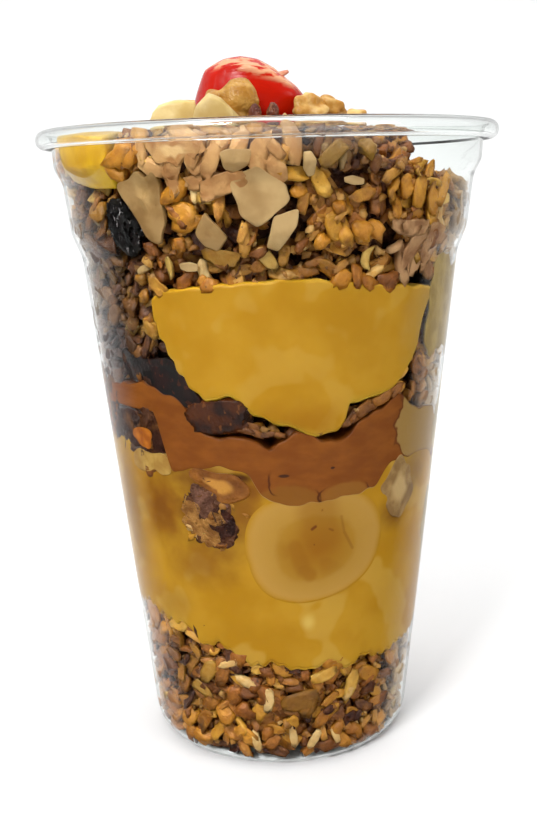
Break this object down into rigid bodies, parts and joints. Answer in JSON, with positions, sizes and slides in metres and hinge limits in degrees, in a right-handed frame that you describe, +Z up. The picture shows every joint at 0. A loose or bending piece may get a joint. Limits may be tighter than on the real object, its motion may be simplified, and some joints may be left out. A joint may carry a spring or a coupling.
{
  "type": "granola parfait in a clear cup",
  "caption": "Layered granola, custard and caramel dessert topped with fruit and nuts, served in a clear tapered cup with a rolled lip.",
  "frame": {"origin": "middle of the cup's foot, on the surface it stands on", "axes": "+Z up along the cup's axis; the front of the picture faces -Y, its right is +X"},
  "size_m": [0.098, 0.098, 0.1494],
  "materials": {
    "cup_clear": "clear glossy plastic with moulded bands, a rolled lip and a ringed foot",
    "granola": "toasted oat clusters, matte and rough, golden to dark brown",
    "custard": "smooth set custard with a soft sheen and tiny dark specks",
    "caramel": "thick caramel spread, satin with glossy smears",
    "banana": "moist cut banana, pale with a darker middle",
    "nut": "smooth ivory nut flesh with a faint grain",
    "coconut": "dry coconut flake, cream with a peach edge",
    "berry_red": "wet red fruit with pale glints",
    "mango": "wet yellow fruit flesh",
    "raisin": "dark wrinkled dried fruit, glossy",
    "date": "brown sticky dried fruit, glossy"
  },
  "bodies": {
    "root": {"cup": "cup_clear", "custard_lower": "custard", "custard_upper": "custard", "caramel_layer": "caramel", "granola_base": "granola", "granola_middle": "granola", "granola_top": "granola", "granola_cluster": "granola", "oat_flake": "granola", "banana_slice": "banana", "banana_slice_back": "banana", "banana_wedge": "banana", "pale_fruit_chunk": "banana", "pale_chip_left": "coconut", "coconut_flake_right": "coconut", "coconut_flake_peach": "coconut", "coconut_flake_rim": "coconut", "nut_shard_left": "nut", "nut_shard_middle": "nut", "nut_stick": "nut", "nut_shard_small": "nut", "almond_chip_a": "nut", "almond_chip_b": "nut", "almond_chip_c": "nut", "almond_chip_d": "nut", "nut_shard_back": "nut", "nut_shard_side": "nut", "cashew_piece": "nut", "nut_right_a": "nut", "nut_right_b": "nut", "nut_crumb_low": "nut", "almond_flake_back": "nut", "strawberry_half": "berry_red", "mango_chunk": "mango", "mango_crumb": "mango", "mango_piece_back": "mango", "raisin_left": "raisin", "raisin_back": "raisin", "date_piece": "date", "raisin_top_a": "date", "raisin_top_b": "date"}
  },
  "joints": []
}
